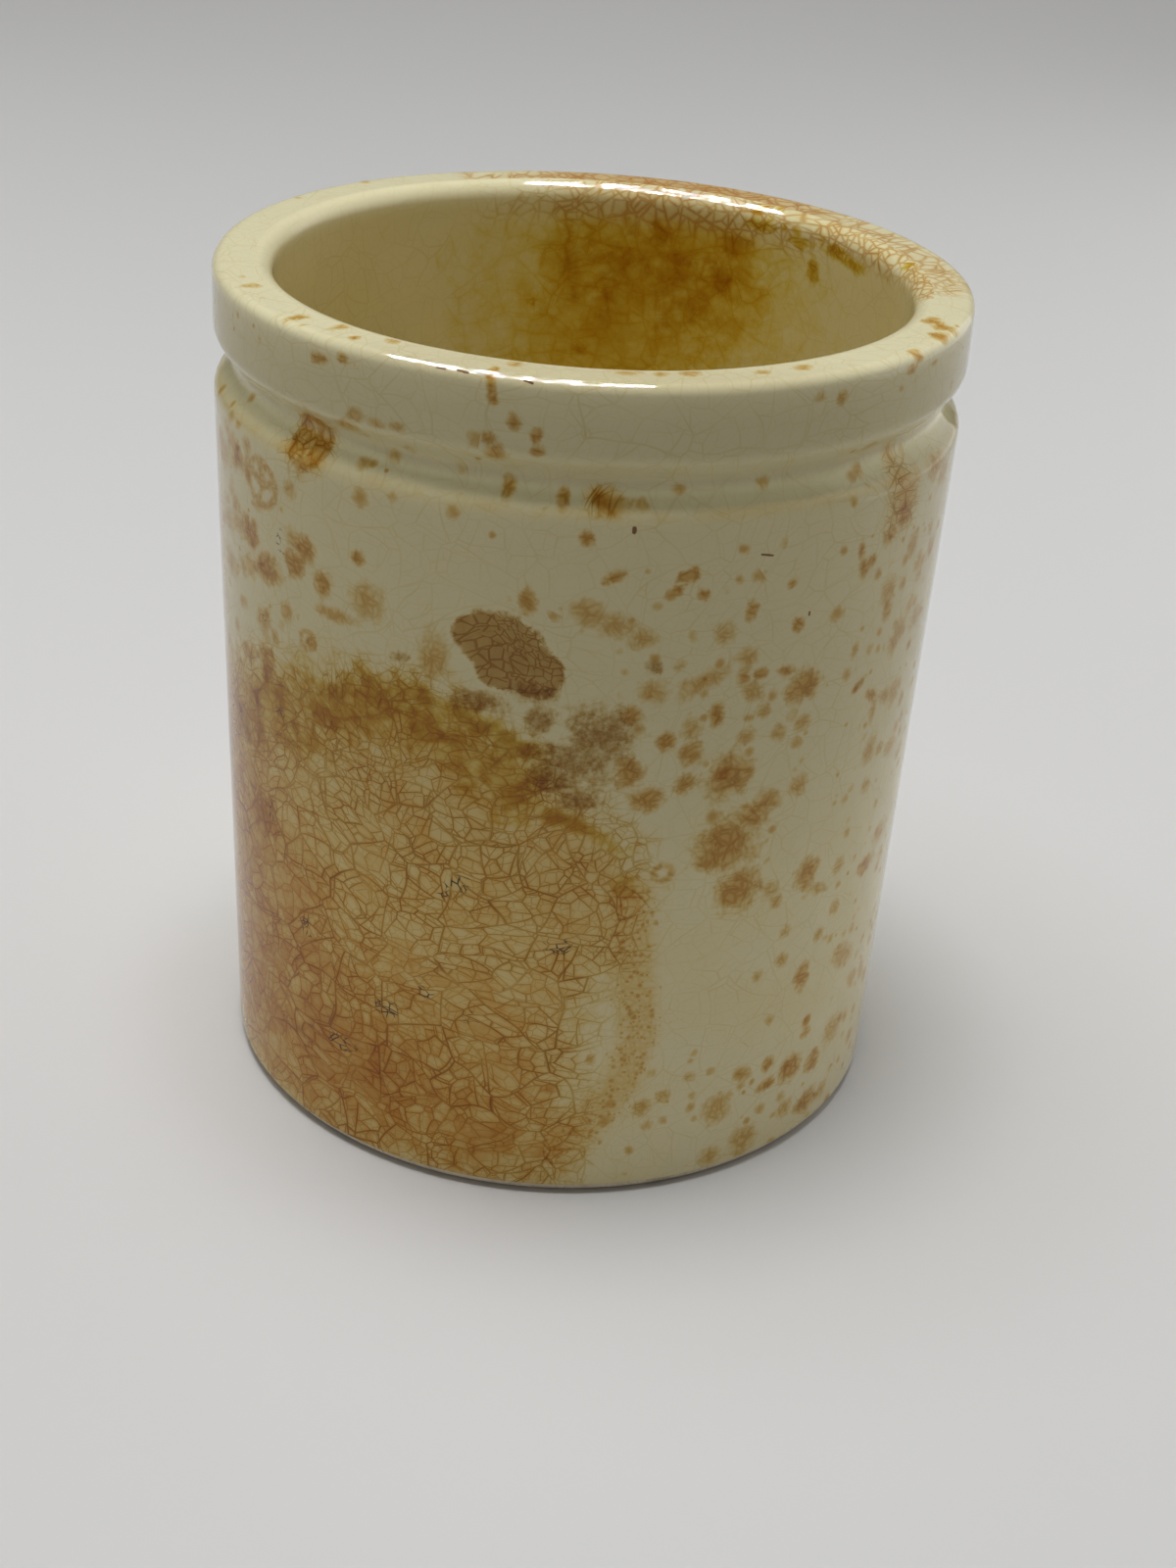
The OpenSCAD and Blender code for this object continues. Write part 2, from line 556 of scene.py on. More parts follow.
glazeBands = {  # heights in millimetres between which one look passes into the next
    # painted shade: where the darker upper cream comes in
    "shadedUpperCream": (22.0, 46.0),
    "fineCracks": (26.0, 36.0),
    # painted shade on the collar: where it fades out towards the top
    "collarShadeTop": (66.6, 69.2),
    "outerRim": (68.6, 69.6),
    # painted light on the rim's top: where the paler land cream comes in outside
    "outerLandLight": (potHeight - 1.6, potHeight - 0.1),
    "landFrontShade": (-28.5, -20.0),  # backwards from the front of the rim, where the land gets less of its painted light: painted shade
    "innerHalo": (64.0, 67.5),
    "innerRim": (65.5, 68.0),
    # painted light on the lip's top: where the paler land cream comes in inside
    "innerLandLight": (potHeight - 2.4, potHeight - 0.4),
}

crackLevels = [  # cell size and half width in millimetres, and strength
    (5.0, 0.080, 1.0),
    (2.7, 0.070, 0.95),
    (1.6, 0.060, 0.80),
    (0.95, 0.046, 0.40),
]

crackBends = {  # lengths are in millimetres
    "bendSize": 12.0,
    "bendReach": (6.0, 7.0),  # across and up
    "curlSize": 3.4,
    "curlReach": 1.8,
    "squeeze": 1.3,  # how many times wider than high the cells are
    "restart": 90.0,  # the furthest that a cell moves the net inside it
    "haloWidth": 0.55,
    "veinWidth": 0.24,
    "edgeWidth": 0.09,
    "toneLevel": 2,  # which level's cells differ in tone
}

stainEdges = {  # how ragged each kind of stain is, and where on its field it starts and is full
    "amber": (0.9, -0.9, 0.8),
    "deep": (0.5, -1.0, 1.0),
    "ochre": (2.0, -0.8, 1.0),
    "blotch": (0.3, -0.03, 0.16),
    "brown": (1.1, -0.5, 0.75),
    "tan": (1.1, -0.5, 0.8),
    "mauve": (1.3, -0.45, 0.8),
    "ink": (0.6, 0.0, 0.4),
}


def startMaterial(name):
    material = bpy.data.materials.new(name)
    material.use_nodes = True
    tree = material.node_tree
    shader = tree.nodes["Principled BSDF"]
    return material, Wire(tree), shader


def wireTo(shader, socket, wire):
    wire.tree.links.new(wire.socket, shader.inputs[socket])


def together(wires):  # the largest of several values
    whole = wires[0]
    for wire in wires[1:]:
        whole = whole.most(wire)
    return whole


def unrolledPlace(place, run, look):  # a place on the face as a flat vector, a little bent
    x, y, _ = place.axes()
    seam = math.radians(look["seam"])
    side = x * math.cos(seam) + y * math.sin(seam)
    ahead = x * math.sin(seam) - y * math.cos(seam)
    bendX, bendY, _ = place.noise(crackBends["bendSize"], 1.0, 0.35, look["seed"], colour=True).axes()
    curlX, curlY, _ = place.noise(crackBends["curlSize"], 0.0, 0.3, look["seed"] + 5.0, colour=True).axes()
    reachX, reachY = crackBends["bendReach"]
    curl = crackBends["curlReach"]
    across = side.maths("ARCTAN2", side * -1.0, ahead * -1.0) * potRadius
    across = across + (bendX - 0.5) * reachX + (curlX - 0.5) * curl
    up = run * crackBends["squeeze"] + (bendY - 0.5) * reachY + (curlY - 0.5) * curl
    return place.add("ShaderNodeCombineXYZ", None, {0: across, 1: up})


def crackNet(place, run, look):  # cracks that split the glaze into cells, and each cell into smaller ones
    flat = unrolledPlace(place, run, look)
    strength = place.noise(3.5, 2.0, 0.5, look["seed"] + 3.0).ramp(0.36, 0.62, 0.5, 1.0)
    net = SimpleNamespace(lines=[], halos=[], veins=[], edges=[])  # the same cracks at four widths
    cell = flat
    for level, (size, halfWidth, share) in enumerate(crackLevels):
        gap, colour = cell.cells(size)
        _, luck, chance = colour.axes()
        cell = flat.moved(colour.scaled(crackBends["restart"]))  # the next cracks start afresh in every cell
        worth = strength * (share * chance.ramp(0.0, 0.6, 0.45, 1.0))
        net.lines.append(gap.ramp(halfWidth * 0.3, halfWidth * 1.7, 1.0, 0.0) * worth)
        net.halos.append(gap.ramp(0.05, crackBends["haloWidth"], 1.0, 0.0) * worth)
        net.veins.append(gap.ramp(0.05, crackBends["veinWidth"], 1.0, 0.0) * (share ** 0.5))
        net.edges.append(gap.ramp(0.03, crackBends["edgeWidth"], 1.0, 0.0))
        if level == crackBends["toneLevel"]:
            net.tone = luck.ramp(0.0, 1.0, 1.0 - look["mosaic"], 1.0 + look["mosaic"])
    return net


# Chance marks in cells, where their luck is below the density
def freckles(where, cell, density, small, large, ragged, seed):
    inputs = {"Vector": where.moved((seed, seed, seed)).scaled(1.0 / cell), "Scale": 1.0, "Randomness": 1.0}
    gap = where.add("ShaderNodeTexVoronoi", {"feature": "F1"}, inputs)
    luck, other, _ = gap.sibling(1).axes()
    size = (small + (large - small) * other * other) / cell
    return (gap + ragged * size).ramp(size * 0.1, size * 1.2, 1.0, 0.0) * (density - luck).ramp(0.0, 0.04)


def stainAmounts(place, look):  # chance patterns on the glaze, and how far each kind of stain has soaked in
    seed = look["seed"]

    def field(kind):
        return place.add("ShaderNodeAttribute", {"attribute_name": kind}, None, out=2)

    cloud = place.noise(9.0, 3.0, 0.55, seed)
    patch = place.noise(2.2, 4.0, 0.6, seed + 2.0)
    lump = place.noise(1.1, 2.0, 0.5, seed + 4.0)
    grain = place.noise(0.45, 3.0, 0.65, seed + 5.0)
    ragged = (patch - 0.5) * 1.0 + (lump - 0.5) * 1.2 + (grain - 0.5) * 0.8
    marks = SimpleNamespace(cloud=cloud, patch=patch, grain=grain, run=field("run"))
    for kind, (raggedness, low, high) in stainEdges.items():
        setattr(marks, kind, (field(kind) + ragged * raggedness).ramp(low, high))
    marks.zone = (field("amber") + (patch - 0.5) * 1.5).ramp(-0.95, 0.45)  # where the cracks are stained
    marks.ochre = marks.ochre * field("ochre").ramp(-1.0, -0.6)  # none far from its field
    marks.ink = marks.ink * lump.ramp(0.46, 0.54)  # broken strokes
    density = field("freckle").ramp(-1.0, 1.0, 0.0, 0.85)
    marks.specks = freckles(place, 1.6, density, 0.22, 0.8, ragged, seed + 3.0)
    marks.dustBand = field("dust").ramp(-1.0, 0.8)
    marks.dust = freckles(place, 0.45, marks.dustBand * 0.95, 0.12, 0.34, ragged * 0.5, seed + 7.0)
    return marks


def outsideParts(marks, cracks, ahead, height):  # stained cracks, rim, land and shoulder of the outer coat
    upper = (height + (marks.cloud - 0.5) * 24.0).ramp(*glazeBands["fineCracks"])
    bigLines = together(cracks.lines[:2]) * (1.0 - 0.4 * upper)
    smallLines = together(cracks.lines[2:]) * (0.9 + 0.4 * upper)
    lines = bigLines.most(smallLines) * (1.0 - 0.5 * marks.ochre)
    onRim = marks.run.ramp(*glazeBands["outerRim"])
    # painted light: paler cream on the rim's top land
    paintedLandLight = height.ramp(*glazeBands["outerLandLight"], 0.0, 0.9)
    shoulderGap = height - (shoulderZ + potShape["shoulderRound"] * 0.62)
    shoulderLine = shoulderGap.maths("ABSOLUTE", shoulderGap).ramp(0.1, 0.55, 0.15, 0.0)
    return SimpleNamespace(
        lines=lines,
        stainedLines=lines * marks.zone * (1.4 - 0.2 * marks.deep) * (1.0 - onRim),
        hair=0.16,  # how much the cracks show where no stain is
        halo=together(cracks.halos[:3]),
        onRim=onRim,
        offRim=1.0 - 0.9 * onRim,
        # painted shade: less of the paler land cream at the front of the rim
        paintedLandLight=paintedLandLight * ahead.ramp(*glazeBands["landFrontShade"], 0.4, 1.0),
        pool=shoulderLine * marks.patch.ramp(0.35, 0.6))


def insideParts(marks, cracks, height):  # the same for the inner and underside coats
    lines = together(cracks.lines)
    onRim = marks.run.ramp(*glazeBands["innerRim"])
    return SimpleNamespace(
        lines=lines,
        stainedLines=lines * marks.zone * 0.12,
        hair=0.12,
        halo=together(cracks.halos[:2]) * marks.run.ramp(*glazeBands["innerHalo"], 0.6, 1.0),
        onRim=onRim,
        offRim=1.0 - 0.92 * onRim,
        # painted light: paler cream on the lip's top
        paintedLandLight=height.ramp(*glazeBands["innerLandLight"], 0.0, 0.9),
        pool=marks.amber * 0.1 * (1.0 - onRim))


def soaked(marks, cracks, part, look):  # how much of each dye the glaze holds
    veins = together(cracks.veins[2:])
    thin = together(cracks.edges[2:])
    cloudy = marks.cloud.ramp(0.3, 0.7, 0.78, 1.22) * marks.patch.ramp(0.3, 0.7, 0.75, 1.25)
    wash = marks.amber * cloudy * cracks.tone

    amber = wash * (0.44 + 0.38 * marks.deep) + part.halo * marks.zone * (0.44 + 0.2 * marks.deep)
    amber = amber * part.offRim + part.pool
    amber = amber + marks.brown * 0.7 + marks.tan * 0.45 + marks.specks * 0.55 + marks.blotch * 0.2
    amber = amber + marks.dust * 0.35 + marks.dustBand * (0.2 + 0.3 * veins)

    brown = wash * (0.09 + 0.30 * marks.deep) * part.offRim
    brown = brown + marks.brown * (0.32 + 0.6 * veins) + marks.tan * (0.2 + 0.36 * veins) + marks.specks * 0.4
    brown = brown + marks.dust * 0.4 + marks.dustBand * 0.1
    brown = brown + marks.mauve * (0.7 + 0.8 * marks.grain.ramp(0.35, 0.7))
    mottle = 1.2 * (marks.patch - 0.45) + 0.4 * (marks.grain - 0.5)
    brown = brown + marks.blotch * (0.8 + 0.7 * thin + mottle)

    ochre = marks.ochre * (0.35 + 0.65 * marks.patch.ramp(0.44, 0.64) + 0.12 * veins)
    hairLines = together(cracks.lines[:2]).most(together(cracks.lines[2:]) * 0.7)
    rimLines = together(cracks.veins[:3]) * 0.55 + together(cracks.halos[:3]) * 0.30
    rimLines = rimLines * marks.patch.ramp(0.3, 0.55, 0.4, 1.0) + 0.08 * marks.patch.ramp(0.45, 0.65)
    return {
        "amberDye": amber,
        "brownDye": brown,
        "ochreDye": ochre,
        "crackDye": part.stainedLines + hairLines * part.hair,
        "rimDye": part.onRim * (marks.zone * rimLines * 0.75 + marks.deep * look["rimWash"]),
    }


def creamColour(marks, part, height, look):  # the glaze before any stain, with painted light on the tops of rim and lip and, outside, painted shade high on the wall and on the collar and painted light in the groove
    colour = marks.cloud.ramp(0.35, 0.7).blend(look["cream"], look["paleCream"])
    if look["outside"]:
        # painted shade: the outer wall darker towards the top
        colour = colour.mix(height.ramp(*glazeBands["shadedUpperCream"], 0.0, 0.9), look["shadedUpperCream"])
    # painted light: the paler cream on the top of the rim and lip
    colour = colour.mix(part.paintedLandLight, look["litLandCream"])
    if look["outside"]:  # painted shade: darker on the collar; painted light: paler on the lower side of the groove
        grooveGap = height - grooveZ
        # painted shade on the collar's face and underside
        paintedCollarShade = grooveGap.ramp(0.4, 1.0) * height.ramp(*glazeBands["collarShadeTop"], 1.0, 0.0)
        # painted light on the lower side of the groove
        paintedGrooveLight = grooveGap.ramp(-2.2, -1.0) * grooveGap.ramp(-0.7, 0.2, 1.0, 0.0)
        colour = colour.mix(paintedCollarShade, look["collarShadeCream"]).mix(paintedGrooveLight, look["grooveLitCream"])
    return colour


def onFace(angle, z):  # a place on the outer coat's face
    turn = math.radians(angle)
    return Vector((faceRadius(z) * math.sin(turn), -faceRadius(z) * math.cos(turn), z))


def strokeGap(place, first, last):  # distance from a straight stroke
    along = last - first
    offset = place.moved(-first)
    reach = place.vectors("DOT_PRODUCT", offset, along, out=1)
    share = place.maths("DIVIDE", reach, along.length_squared, clamp=True)
    nearest = place.add("ShaderNodeVectorMath", {"operation": "SCALE"}, {0: along, "Scale": share})
    return place.vectors("DISTANCE", offset, nearest, out=1)


def glazeMaterial(name, look):
    material, start, shader = startMaterial(name)
    place = start.add("ShaderNodeTexCoord", None, None, out=3).scaled(1.0 / mm)
    _, ahead, height = place.axes()
    marks = stainAmounts(place, look)
    cracks = crackNet(place, marks.run, look)
    if look["outside"]:
        part = outsideParts(marks, cracks, ahead, height)
    else:
        part = insideParts(marks, cracks, height)
    soaks = soaked(marks, cracks, part, look)
    colour = creamColour(marks, part, height, look)
    colour = colour.dyed(*[(soak, look[dye]) for dye, soak in soaks.items()])
    colour = colour.mix(together(cracks.edges[2:]) * marks.ink, look["ink"])
    for angleA, heightA, angleB, heightB, halfWidth in look["scratches"]:
        gap = strokeGap(place, onFace(angleA, heightA), onFace(angleB, heightB))
        gap = gap + (marks.grain - 0.5) * halfWidth
        colour = colour.mix(gap.ramp(halfWidth * 0.6, halfWidth, 0.95, 0.0), look["scratchColour"])
    wireTo(shader, "Base Color", colour)
    wireTo(shader, "Roughness", look["roughness"] + 0.03 * marks.cloud + 0.08 * marks.brown)
    skin = place.noise(1.6, 2.0, 0.5, look["seed"] + 13.0) * 0.7 + marks.grain * 0.12 - part.lines * 0.08
    bumpInputs = {"Height": skin, "Strength": 0.12, "Distance": 0.12 * mm}
    wireTo(shader, "Normal", start.add("ShaderNodeBump", None, bumpInputs))
    shader.inputs["IOR"].default_value = look["gloss"]
    return material


# Outer coat

# Places are degrees from the front, to the right, and millimetres above the foot, then on across the land
brownSpots = [
    (-42.5, 53.3, 1), (-45.5, 51.7, 1.1), (-39, 51, 1), (36.8, 45.7, 0.6, 1.1), (-32.5, 54.2, 0.6),
    (-6.5, 53.6, 0.6, 1.1), (2.6, 61.3, 0.5, 0.8), (-39, 68.4, 0.5, 0.4), (-48, 70.8, 0.5, 0.8),
    (-36, 70.9, 0.4, 0.5), (26, 33, 2.6, 2.4), (29.5, 34.8, 1.6, 1.2), (24, 31.6, 1.6, 1),
    (28.5, 28.5, 1.9), (25, 38.9, 1.8), (12.2, 37.5, 1.3, 1), (18.3, 41.2, 1), (9.4, 40, 1.1),
    (17.8, 38.6, 0.8), (14.5, 42.5, 0.7), (9.2, 44.8, 0.7), (21.8, 44.3, 0.6, 1), (5, 55.8, 1, 0.45, 25),
    (16.2, 56, 0.5), (14.6, 55.9, 0.4), (18, 54.4, 0.5), (14.2, 54.8, 0.45), (31.8, 54.3, 0.45),
    (25.6, 52.6, 0.5, 0.8), (33.8, 50.8, 0.55), (36.4, 45.4, 1.5, 1.3), (32.6, 47.2, 0.7, 0.45),
    (28.4, 47.4, 0.7, 0.45), (42.5, 28, 1.3), (45.5, 8.2, 1.3), (39.6, 9.8, 0.7), (40, 7.7, 1, 0.5),
    (48.4, 11.2, 0.6), (48.2, 12.6, 0.5), (45, 17.5, 0.8, 1.3), (52, 7.4, 1), (51.6, 3.2, 1.5, 1.1),
    (44.7, 55.6, 0.4, 0.8), (45.8, 53.8, 0.6), (47.4, 54.4, 0.5), (51.2, 55.9, 0.8),
    (53, 42.2, 0.8, 0.5, -30), (49, 43.8, 0.8, 0.4, 30), (60.5, 25, 1.3, 0.8), (-52.5, 49.8, 1.8, 1.1),
    (-57.5, 51.6, 1.1), (-61, 57.4, 0.8, 1), (1.2, 58.7, 0.5), (-42.3, 45.8, 0.4), (-13, 65.4, 0.6, 0.5),
    (-12, 64.4, 0.8, 0.7), (-9.6, 66.9, 0.5, 0.6), (-6.4, 66, 0.4, 0.6), (-6, 64.9, 0.5, 0.4),
    (-40.6, 68.2, 0.5, 0.4), (-35.4, 68.9, 0.45, 0.4), (-2.4, 61.3, 0.4, 0.7), (-10.3, 61.6, 0.5, 0.8),
    (51, 69, 0.6, 0.4), (53, 69.6, 0.6, 0.5), (62, 70.3, 0.7, 0.6), (66, 70.6, 0.8, 0.7),
    (68, 71.6, 0.6, 0.9),
]

tanSpots = [
    (2, 53, 1.5, 1, -20), (6, 52, 1.6, 0.9, -15), (9.3, 51.1, 1.1, 0.7), (-20, 48, 1.2, 2), (12, 46.7, 1),
    (19, 47.2, 1.9, 0.8, 30), (16.5, 47.2, 0.5), (15.5, 48.8, 0.5), (21.5, 51, 0.9), (25.8, 49, 0.8),
    (27.3, 46, 0.8), (25.5, 47.4, 0.5, 0.9), (18, 43.4, 0.9), (27, 42.2, 0.7), (32.7, 42, 0.7),
    (37, 42.2, 0.7), (27, 43.7, 0.4), (29.6, 44, 0.6), (38, 36.7, 0.9), (31.8, 36.2, 1.2, 0.9),
    (53.5, 51.2, 1.1), (54, 49.1, 0.7), (46.5, 47.2, 0.4, 0.8), (59, 46.7, 1), (66, 46.7, 1.4, 1),
    (55, 37, 0.9, 1.2), (58.5, 36.3, 0.7), (63, 35.7, 1.2, 0.8), (61, 41, 1.1), (57.6, 41.3, 0.7),
    (54, 40.5, 0.4, 0.9), (59, 54, 0.8, 1.1), (62.5, 51.8, 0.7), (68, 52.4, 1, 0.7), (35, 27.5, 0.8),
    (36.5, 26.3, 0.6), (45.5, 26, 1.5, 0.5, -20), (50.8, 27.2, 0.8), (65, 27, 1.6, 1), (39.5, 23, 0.6),
    (51.5, 22.9, 0.7), (48, 21.1, 0.6), (34.8, 19.4, 0.6), (39.5, 20.2, 0.7), (57, 17, 1.8, 1, -30),
    (24, 11, 0.5), (16, 8.5, 0.7), (19.5, 9.5, 0.6), (30, 7, 1.3), (34.5, 9.7, 0.8), (57, 9.3, 1.4),
    (36, 2.7, 1.4), (29.5, 2, 1), (45.5, 4, 0.9), (-60, 52, 1.6, 1.2), (-63.5, 53.2, 0.9),
    (-58.2, 58.8, 0.8), (-46, 57.4, 0.7), (-69.5, 56.6, 2.2, 1), (-68, 51, 1.8, 0.9), (-67, 47.5, 1.6, 1.1),
    (-31, 51, 1.4), (-36.5, 48.9, 2, 0.5), (-47.5, 47.2, 0.8), (-60, 41.4, 1.3, 0.6), (-53.5, 42, 1.2, 0.9),
    (-45.4, 53.5, 0.9), (5, 60.9, 1.4, 0.5), (-33, 65, 0.9, 0.5), (-29.5, 64.9, 0.6, 0.4),
    (-26, 65.1, 0.6, 0.4), (-35, 63.8, 1.2, 0.6), (33, 68.5, 0.5, 0.4), (37, 68.2, 0.5, 0.6),
    (-33, 61.2, 0.7, 0.4), (-28.4, 62.2, 0.6, 0.5), (8.4, 61, 0.6, 0.4), (14, 62, 0.5, 0.4),
    (27, 62, 0.5, 0.5), (45, 61.6, 0.5, 0.6), (45.6, 63.4, 0.8, 0.4), (64, 59.6, 1.4, 1),
    (68, 58.4, 1.4, 1), (-65, 70.9, 0.5, 0.8), (-31, 72.1, 0.5, 0.6), (-11, 72.1, 0.5, 0.7),
    (-41, 72, 0.5, 1), (6, 72.2, 1, 0.6), (10.5, 72, 0.6, 0.6), (15, 72.2, 0.7, 0.7), (26, 71.5, 0.6, 0.5),
    (33, 71.5, 0.8, 0.5), (-57, 27, 3, 2.4),
]

outerStains = {
    "amber": {
        "areas": [
            (4, [
                (-98, 2), (-111, 8), (-118, 16), (-114, 24), (-102, 31), (-86, 35.5), (-72, 38.5),
                (-60, 40), (-48, 42), (-36, 44), (-24, 45), (-14, 43.5), (-5, 40), (3, 36.5), (9, 33),
                (11.5, 29), (9, 25), (6, 21), (4, 17), (2.5, 13), (2.5, 9), (4, 6), (2, 2), (-20, 0),
            ]),
            (2, [
                (86, 70.8), (86, 74), (204, 74), (204, 71), (186, 70.6), (168, 69.2), (140, 70),
                (112, 70.6),
            ]),
        ],
        "spots": [
            (-83, 46, 4, 8), (54, 58.6, 1.7, 2.2), (-43.5, 61.4, 1.7, 1.7), (3, 61.4, 1, 0.7),
            (53, 61.8, 0.8, 0.7),
        ],
    },
    "deep": {
        "areas": [
            (9, [
                (-98, 0), (-111, 8), (-114, 16), (-107, 24), (-93, 31), (-76, 36), (-62, 34), (-50, 27),
                (-40, 19), (-28, 16), (-16, 14), (-8, 10), (0, 4),
            ]),
        ],
        "spots": [(164, 72.4, 11, 3)],
    },
    "ochre": {
        "streaks": [
            (2.4, [
                (-62, 35), (-54, 38), (-48, 39.4), (-42, 40.4), (-36, 41), (-30, 42.4), (-24, 42.6),
                (-18, 41.6), (-13, 40.2), (-8, 38.8),
            ]),
            (0.7, [(-30, 44.4), (-22, 44.4), (-14, 43.6), (-6, 41.4)]),
            (0.6, [(-2, 36.2), (4, 35), (9, 33)]),
        ],
        "spots": [(-43, 37.4, 2.6, 1.3), (-36, 40.6, 2.6, 1.2), (-5.8, 35.6, 0.8), (9.6, 30.1, 0.8)],
    },
    "blotch": {"spots": [
        (-10.3, 50, 3.6, 2.5, -6), (-5, 47.8, 2.3, 2.1), (-13.5, 50.4, 2, 1.7), (-9.6, 47.9, 2.4, 1.7),
    ]},
    "brown": {
        "streaks": [(0.35, [(-13, 70.6), (-12.8, 69.4), (-12.4, 68.2)])],
        "spots": brownSpots,
    },
    "tan": {
        "streaks": [
            ringStreak(0.35, -53.5, 56.7, 2.1, 1.8), (0.3, [(-56.5, 57.4), (-53, 56.4), (-50.6, 57)]),
            (0.3, [(-53.6, 58.4), (-53, 56.4), (-54.4, 55)]), ringStreak(0.28, -42.5, 45.8, 0.85, 0.7),
            ringStreak(0.3, 15.8, 31, 0.75, 0.7), ringStreak(0.35, -43.5, 61.4, 1.8, 1.8),
            (0.3, [(-45.6, 62.9), (-44, 60.2)]), (0.3, [(-46.8, 61.6), (-40.4, 61.4)]),
            (0.3, [(-43, 63.2), (-42, 59.8)]),
        ],
        "spots": tanSpots + scattered(8, 90, (90, 280), (3, 59), (0.4, 1.6))
        + scattered(31, 55, (-90, -50), (40, 59), (0.4, 1.2))
        + scattered(33, 60, (48, 95), (2, 58), (0.35, 0.9)),
    },
    "mauve": {"spots": [
        (4.6, 43, 2.4, 2.2), (1, 40.4, 2.8, 2), (-0.5, 39, 1.8, 1.5), (-4, 44, 1), (2, 37.6, 1.8, 1),
        (-25, 47.3, 0.8, 0.4, 15), (-13, 45, 2.2, 0.8), (11.7, 48.7, 0.6), (-5, 46.4, 1.6, 0.8),
    ]},
    "ink": {"spots": [
        (-15.8, 28.6, 1.9, 0.9, 40), (0.5, 24.4, 1.3, 1), (-43, 19.6, 1.6, 1.2), (-27, 15.6, 1.4, 1),
        (-36, 10.2, 1.8, 0.9), (-12.5, 16.6, 0.9), (-50, 38, 0.8, 0.5), (-48.5, 52.6, 0.6, 1.4),
        (-53.6, 45.6, 0.5), (-20, 18.4, 0.8, 1.2), (-53, 28.6, 1, 1.2),
    ]},
    "freckle": {
        "areas": [
            (5, [(44, 2), (50, 30), (44, 44), (40, 60), (100, 60), (100, 2)]),
            (4, [(-100, 40), (-100, 60), (-56, 60), (-46, 50), (-56, 40)]),
        ],
        "spots": [
            (18, 48, 9, 8), (28, 40, 5, 6), (160, 30, 30, 26), (-140, 34, 20, 24), (-20, 62, 8, 3),
            (-60, 70, 6, 2.5), (60, 66, 8, 4), (30, 8, 12, 5),
        ],
    },
    "dust": {"streaks": [
        (1.3, [(11, 29), (12, 25), (13, 20.5), (14.3, 16), (12.2, 11.5), (8, 8), (3, 4.5)]),
        (0.7, [(15, 20), (15.5, 15), (13.5, 11)]),
    ]},
}

outerCoat = turned("outerGlaze", outerCoatLine(), 400, 0.25, glazeMaterial("creamGlaze", creamLook))
stainMesh(outerCoat, outerStains, outerRun)
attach(outerCoat, "root")
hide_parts("outer_glaze")
print("outer coat ready")


# Inner coat

linerLook = {
    **creamLook,
    "cream": (0.722, 0.626, 0.315, 1.0),
    "paleCream": (0.75, 0.66, 0.36, 1.0),
    "amberDye": (0.12, 0.44, 2.40),
    "ochreDye": (0.24, 0.50, 1.50),
    "rimWash": 0.30,
    "brownDye": (0.52, 0.84, 2.10),
    "scratches": [],
    "mosaic": 0.12,
    "seed": 20.0,
    "seam": 0.0,
    "outside": False,
}

linerStains = {  # heights run on up over the lip and on down across the floor
    "amber": {
        "spots": [
            (168, 62, 11, 7), (160, 66, 7, 4), (176, 56, 9, 9), (150, 65, 2, 4), (184, 63, 4, 5),
            (170, 48, 8, 10),
        ],
        "streaks": [(1.5, [(86, 71), (112, 70.2), (150, 70), (180, 70.2)])],
    },
    "deep": {"spots": [(168, 65, 8, 4), (162, 61, 6, 5), (176, 60, 6, 5)]},
    "ochre": {
        "spots": [
            (168, 66, 2, 1.1), (172, 66.2, 1.2, 0.8), (163, 63.4, 2.2, 1.4), (150, 66, 0.9, 1.4),
            (154, 63.4, 1.2, 1.6), (174, 63, 2.2, 1.4), (160, 60.4, 1.4, 1.2), (178, 61, 1, 2),
        ],
        "streaks": [
            (0.5, [(152, 66.4), (153, 62)]), (0.6, [(165, 64), (166, 58)]), (0.5, [(186, 66), (184, 60)]),
        ],
    },
    "brown": {"spots": [
        (132, 65.6, 0.7, 1), (120, 67.6, 1.4, 0.5), (126, 68, 1.6, 0.5), (136, 67.8, 1.2, 0.5),
        (146, 68.4, 1.4, 0.5),
    ]},
    "tan": {"spots": scattered(12, 40, (-180, 180), (20, 62), (0.4, 1.2))},
    "freckle": {"spots": [(110, 69.6, 6, 2), (134, 69.6, 8, 2)]},
}

liner = turned("innerGlaze", linerLine(), 320, 0.0, glazeMaterial("linerGlaze", linerLook))
stainMesh(liner, linerStains, innerRun)
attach(liner, "root")
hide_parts("inner_glaze")
print("inner coat ready")


# Underside coat

basecoatLook = {**creamLook, "seed": 40.0, "outside": False, "roughness": 0.2, "scratches": []}

basecoatStains = {  # places are degrees from the front and millimetres from the middle
    "amber": {"spots": [(-40, 14, 14.0, 10.0), (200, 18, 8.0, 6.0)]},
    "deep": {"spots": [(-40, 18, 8.0, 5.0)]},
    "tan": {"spots": scattered(21, 40, (-180, 180), (2, 21), (0.5, 2.0))},
    "freckle": {"spots": [(60, 10, 14.0, 12.0)]},
}

basecoat = turned("undersideGlaze", basecoatLine(), 256, 0.0, glazeMaterial("undersideGlaze", basecoatLook),
                  **{"Out Of Round": 0.4, "Ripple": 0.02})
stainMesh(basecoat, basecoatStains, flatRun)
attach(basecoat, "root")
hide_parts("underside_glaze")
print("underside coat ready")


# Clay

clayLook = {
    "buff": (0.62, 0.52, 0.38, 1.0),
    "pale": (0.72, 0.64, 0.50, 1.0),
    "grime": (0.22, 0.16, 0.10, 1.0),
    "grit": (0.30, 0.20, 0.12, 1.0),
}


